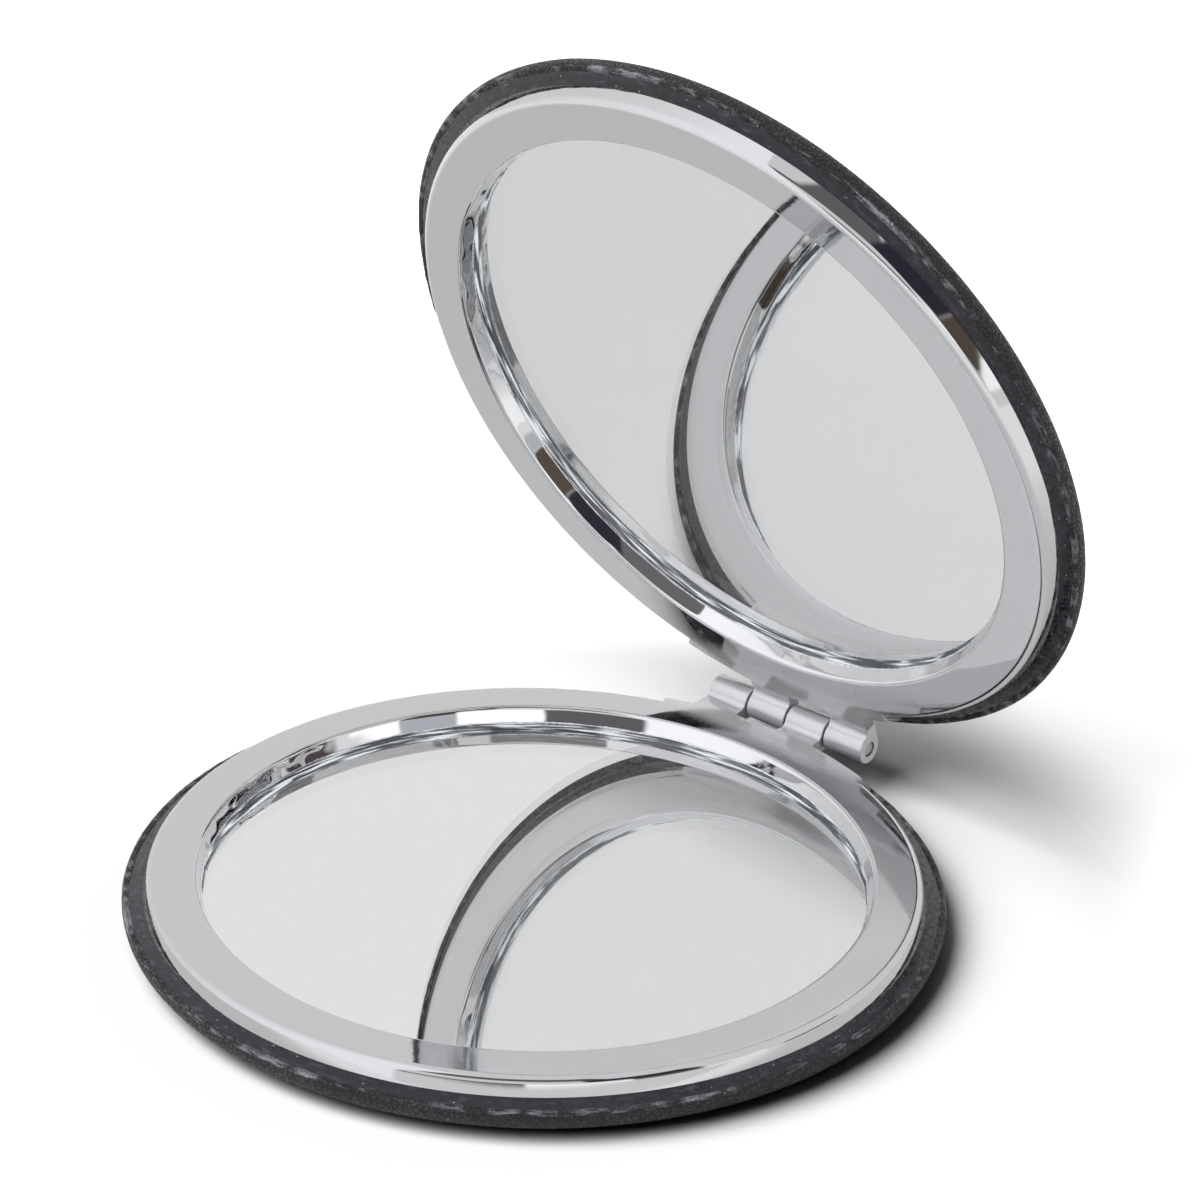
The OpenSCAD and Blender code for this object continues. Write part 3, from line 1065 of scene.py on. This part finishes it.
material, nodes, links, output = new_material("black_leather")
skin = nodes.new("ShaderNodeBsdfPrincipled")
skin.inputs["Specular IOR Level"].default_value = skin_gloss
place = object_place(nodes)
bend = nodes.new("ShaderNodeVectorMath")
bend.operation = "MULTIPLY_ADD"
wobble = nodes.new("ShaderNodeTexNoise")
wobble.inputs["Scale"].default_value = 1 / bend_size
links.new(place, wobble.inputs["Vector"])
links.new(wobble.outputs["Color"], bend.inputs[0])
bend.inputs[1].default_value = (grain_size / 2, grain_size / 2, grain_size / 2)
links.new(place, bend.inputs[2])
pebble = cells(nodes, links, bend.outputs[0], grain_size, "DISTANCE_TO_EDGE")["Distance"]
pebble = between(nodes, links, pebble, 0, pebble_edge)
fine = spots(nodes, links, place, fine_size, 3)
height = number_node(nodes, links, "MULTIPLY_ADD", fine, fine_share, pebble)
wear = spots(nodes, links, place, wear_size, 4)
# The skin is painted darker in the grain's grooves, as painted shade, and varies with wear.
wear_and_groove_shade = number_node(nodes, links, "MULTIPLY", between(nodes, links, wear, *noise_span), pebble)
shade = blended(nodes, links, wear_and_groove_shade, *skin_colours)
lint = cells(nodes, links, place, lint_gap, "F1")
speck = number_node(nodes, links, "LESS_THAN", lint["Distance"], lint_share)
shade = blended(nodes, links, speck, shade, lint_colour)
axes = nodes.new("ShaderNodeSeparateXYZ")
own = own_place(nodes)
links.new(own, axes.inputs[0])
# Pale marks along the cut: the backing, and painted glints of the cut edge.
fray_and_glint = spots(nodes, links, along_rim(nodes, links, own), glint_fray_size, 5)
long_glint_fray = spots(nodes, links, own, long_glint_fray_size, 2)
fray_and_glint = number_node(nodes, links, "MULTIPLY_ADD", long_glint_fray, long_glint_fray_share, fray_and_glint)
cut_and_glint_mask = number_node(
    nodes, links, "MULTIPLY",
    between(nodes, links, axes.outputs["Z"], cut_from, cut_to),
    between(nodes, links, fray_and_glint, *glint_fray_span))
links.new(blended(nodes, links, cut_and_glint_mask, shade, backing_and_glint_colour), skin.inputs["Base Color"])
polish = between(nodes, links, height, *skin_span, *skin_roughness)
links.new(polish, skin.inputs["Roughness"])
links.new(bumped(nodes, links, height, skin_depth), skin.inputs["Normal"])
links.new(skin.outputs[0], output.inputs["Surface"])
leather = material


def cover_curve(bm, inset):
    """The cover's flat, crown and rolled edge in section, moved inwards by inset."""
    middle = bm.verts.new((0, 0, inset))
    flat_end = bm.verts.new((rest_r, 0, inset))
    joined(bm, middle, flat_end)
    crown_end = drawn_arc(bm, flat_end, (rest_r, 0, crown_r), against_y, crown_angle, curve_steps)
    roll_end = drawn_arc(
        bm, crown_end, (roll_x, 0, roll_z), against_y, pi / 2 - crown_angle, curve_steps)
    return middle, roll_end


for seed, (half, place) in enumerate(halves):
    bm = bmesh.new()
    outer_middle, outer_end = cover_curve(bm, 0)
    inner_middle, inner_end = cover_curve(bm, leather_t)
    upper = [bm.verts.new((r, 0, z)) for r, z in (
        (cover_r, side_z),
        (cover_r - cut_lean, side_z + cut_h - cut_drop),
        (cover_r - cut_back, side_z + cut_h),
        (tray_r - corner_w, side_z + corner_w),
        (tray_r, side_z),
    )]
    joined(bm, outer_end, *upper, inner_end)
    joined(bm, outer_middle, inner_middle)
    bmesh.ops.contextual_create(bm, geom=bm.edges[:])
    round_corner(bm, upper[1], cut_round, 2)
    opened_profile(bm)
    flats = [e for e in bm.edges if e.calc_length() > rest_r / 2]
    bmesh.ops.subdivide_edges(bm, edges=flats, cuts=flat_rings - 1)
    spin_profile(bm, leather_steps)
    for vert in bm.verts:
        spot = Vector((vert.co.x, vert.co.y, vert.co.z + seed * lid_cover_shift))
        radius = hypot(*vert.co.xy)
        if vert.co.z > side_z + cut_h / 3:
            ragged = noise.noise(spot / small_rag) + noise.noise(spot / large_rag)
            vert.co.z += cut_wander * ragged
            vert.co.xy *= 1 + cut_wander / 2 * noise.noise(spot / side_rag) / radius
        elif radius > rest_r and vert.co.z > leather_t:
            vert.co.xy *= 1 + skin_wander * (noise.noise(spot / skin_wave) - 0.5) / radius
    piece = finish_piece(bm, f"{half}_leather_cover", place, cover_fold)
    piece.data.materials.append(leather)
    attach(piece, half)
    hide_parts(f"{half}_leather")


# Foam pads.
# A round of grey foam, thick in the middle and thinned at its edge by the pulled leather,
# glued to the tray's back; it gives the back its soft crown.
foam_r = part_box("base_foam")[1].x
foam_crown_r = crown_r - leather_t
foam_edge = 0.1 * MM
foam_turn = asin((foam_r - rest_r) / foam_crown_r)
foam_curve_steps = 10
foam_steps = 180
foam_colours = ((0.2, 0.2, 0.21), (0.34, 0.34, 0.35))
pore_size, pore_depth = 0.35 * MM, 0.12 * MM

material, nodes, links, output = new_material("grey_foam")
foam = nodes.new("ShaderNodeBsdfPrincipled")
foam.inputs["Roughness"].default_value = 0.9
pores = cells(nodes, links, object_place(nodes), pore_size, "F1")["Distance"]
links.new(blended(nodes, links, pores, *foam_colours), foam.inputs["Base Color"])
links.new(bumped(nodes, links, pores, pore_depth), foam.inputs["Normal"])
links.new(foam.outputs[0], output.inputs["Surface"])
grey_foam = material

for half, place in halves:
    bm = bmesh.new()
    middle = bm.verts.new((0, 0, leather_t))
    flat_end = bm.verts.new((rest_r, 0, leather_t))
    joined(bm, middle, flat_end)
    edge_low = drawn_arc(
        bm, flat_end, (rest_r, 0, crown_r), against_y, foam_turn, foam_curve_steps)
    edge_high = bm.verts.new((foam_r, 0, tray_bottom_z))
    top_middle = bm.verts.new((0, 0, tray_bottom_z))
    joined(bm, edge_low, edge_high, top_middle, middle)
    bmesh.ops.contextual_create(bm, geom=bm.edges[:])
    round_corner(bm, edge_low, foam_edge, 3)
    opened_profile(bm)
    spin_profile(bm, foam_steps)
    piece = finish_piece(bm, f"{half}_foam_pad", place)
    piece.data.materials.append(grey_foam)
    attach(piece, half)
    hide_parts(f"{half}_foam")


# Tapes and magnets.
# Double-sided paper tape under each glass and each frame, and nickel-plated magnet bars
# in the trays' front pockets; the CAD solids have their true shape.
paper_colours = ((0.62, 0.6, 0.55), (0.78, 0.77, 0.73))
paper_roughness = (0.45, 0.75)
fibre_size, fibre_depth, fibre_stretch = 0.5 * MM, 0.02 * MM, (1, 0.3, 1)
nickel_colour = (0.62, 0.59, 0.54)
nickel_roughness = (0.2, 0.38)
scratch_size, scratch_depth, scratch_stretch = 0.3 * MM, 0.004 * MM, (0.2, 1, 1)

material, nodes, links, output = new_material("paper_tape")
paper = nodes.new("ShaderNodeBsdfPrincipled")
fibres = spots(nodes, links, object_place(nodes), fibre_size, 4, fibre_stretch)
links.new(blended(nodes, links, fibres, *paper_colours), paper.inputs["Base Color"])
worn(nodes, links, paper, fibres, paper_roughness, fibre_depth)
links.new(paper.outputs[0], output.inputs["Surface"])
paper_tape = material

material, nodes, links, shader = metal("nickel_plate", nickel_colour)
marks = spots(nodes, links, object_place(nodes), scratch_size, 3, scratch_stretch)
worn(nodes, links, shader, marks, nickel_roughness, scratch_depth)
nickel_plate = material

for half, place in halves:
    for node, finish in (
            ("mirror_tape", paper_tape), ("frame_tape", paper_tape), ("magnet", nickel_plate)):
        data = frame["nodes"][f"{half}_{node}"].data
        data.materials.clear()
        data.materials.append(finish)
